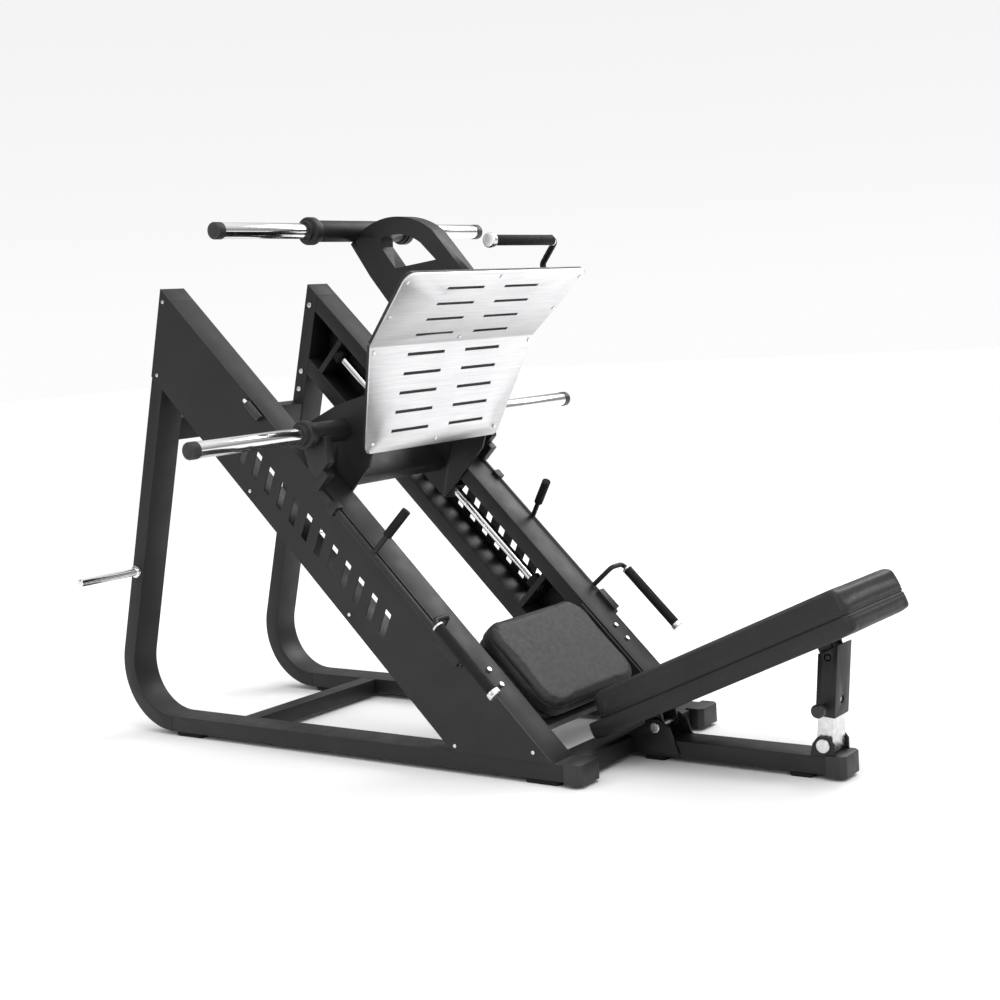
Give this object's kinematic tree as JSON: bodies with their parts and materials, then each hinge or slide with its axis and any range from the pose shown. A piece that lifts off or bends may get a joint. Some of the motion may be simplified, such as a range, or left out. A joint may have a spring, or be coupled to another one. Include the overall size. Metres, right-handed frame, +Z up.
{
  "type": "sled leg press",
  "caption": "Plate-loaded inclined sled press with a folded footplate, guide rods, weight horns, swing-out safety stops, seat and adjustable backrest.",
  "frame": {"origin": "on the floor at the centre of the footprint", "axes": "X runs across the machine with +X to the right of someone standing at the backrest and looking along +Y; -Y towards the backrest, +Y towards the rear legs, +Z up"},
  "size_m": [1.866, 2.545, 1.6409],
  "materials": {
    "frame_paint": "satin black powder coat",
    "chrome": "polished chrome plate",
    "bright_steel": "bright zinc plate",
    "tread_aluminium": "fine brushed",
    "end_aluminium": "turned",
    "vinyl": "grained black upholstery vinyl",
    "board": "black stained plywood",
    "black_rubber": "matte",
    "black_plastic": "moulded",
    "bearing_housing": "black anodised"
  },
  "bodies": {
    "frame": {"left_floor_tube": "frame_paint", "right_floor_tube": "frame_paint", "left_rear_leg": "frame_paint", "right_rear_leg": "frame_paint", "left_top_rail": "frame_paint", "right_top_rail": "frame_paint", "left_lower_rail": "frame_paint", "right_lower_rail": "frame_paint", "left_side_panel": "frame_paint", "right_side_panel": "frame_paint", "front_cross_tube": "frame_paint", "rear_floor_cross_tube": "frame_paint", "rear_cross_tube": "frame_paint", "centre_beam": "frame_paint", "tube_end_shoes": "black_plastic", "rubber_feet": "black_rubber", "left_guide_rod": "chrome", "right_guide_rod": "chrome", "guide_rod_brackets": "frame_paint", "rod_bumpers": "black_rubber", "band_pegs": "chrome", "panel_screws": "bright_steel", "frame_bolts": "bright_steel", "seat_cushion": "vinyl", "seat_board": "board", "seat_frame": "frame_paint", "hinge_brackets": "frame_paint", "hinge_pins": "bright_steel", "stop_bar_bearings": "frame_paint", "rail_buffers": "black_plastic"},
    "sled": {"left_cheek_plate": "frame_paint", "right_cheek_plate": "frame_paint", "linear_bearings": "bearing_housing", "stop_catches": "frame_paint", "lower_horns": "chrome", "upper_horns": "chrome", "horn_collars": "frame_paint", "horn_caps": "black_plastic", "lower_horn_axle": "frame_paint", "upper_horn_axle": "frame_paint", "sled_cross_tube": "frame_paint", "tower": "frame_paint", "footplate": "tread_aluminium", "footplate_pans": "frame_paint", "footplate_screws": "bright_steel", "sled_handle": "frame_paint", "sled_handle_grip": "black_rubber", "sled_handle_cap": "end_aluminium"},
    "left_stop": {"left_stop_bar": "frame_paint", "left_stop_grips": "black_rubber", "left_handle_ends": "end_aluminium"},
    "right_stop": {"right_stop_bar": "frame_paint", "right_stop_grips": "black_rubber", "right_handle_ends": "end_aluminium"},
    "backrest": {"back_cushion": "vinyl", "back_base": "vinyl", "back_frame": "frame_paint"},
    "post_foot": {"post_inner_tube": "bright_steel"},
    "post_head": {"post_outer_tube": "frame_paint"},
    "pop_pin": {"pop_pin": "black_plastic"}
  },
  "joints": [
    {"name": "sled_travel", "type": "slide", "parent": "frame", "child": "sled", "axis": [0, 0.7071, 0.7071], "range_m": [0, 0.345]},
    {"name": "left_stop_turn", "type": "hinge", "parent": "frame", "child": "left_stop", "pos_m": [-0.412, 0.04566, 0.54834], "axis": [0, -0.7071, -0.7071], "range_deg": [0, 60]},
    {"name": "right_stop_turn", "type": "hinge", "parent": "frame", "child": "right_stop", "pos_m": [0.412, 0.04566, 0.54834], "axis": [0, 0.7071, 0.7071], "range_deg": [0, 60]},
    {"name": "backrest_recline", "type": "hinge", "parent": "frame", "child": "backrest", "pos_m": [0, -0.58, 0.1], "axis": [1, 0, 0], "range_deg": [-4, 5]},
    {"name": "post_swing", "type": "hinge", "parent": "frame", "child": "post_foot", "pos_m": [0, -1.1015, 0.096], "axis": [1, 0, 0], "range_deg": [-4.9, 6.1]},
    {"name": "post_stretch", "type": "slide", "parent": "post_foot", "child": "post_head", "axis": [0, -0.0872, 0.9962], "range_m": [-0.0465, 0.0375]},
    {"name": "pop_pin_pull", "type": "slide", "parent": "post_head", "child": "pop_pin", "axis": [-1, 0, 0], "range_m": [0, 0.01], "stiffness_N_per_m": 600, "springref_m": -0.006}
  ],
  "couplings": [
    {"joint": "post_swing", "follows": "backrest_recline", "ratio": 1.195},
    {"joint": "post_stretch", "follows": "backrest_recline", "m_per_rad": -0.52}
  ]
}
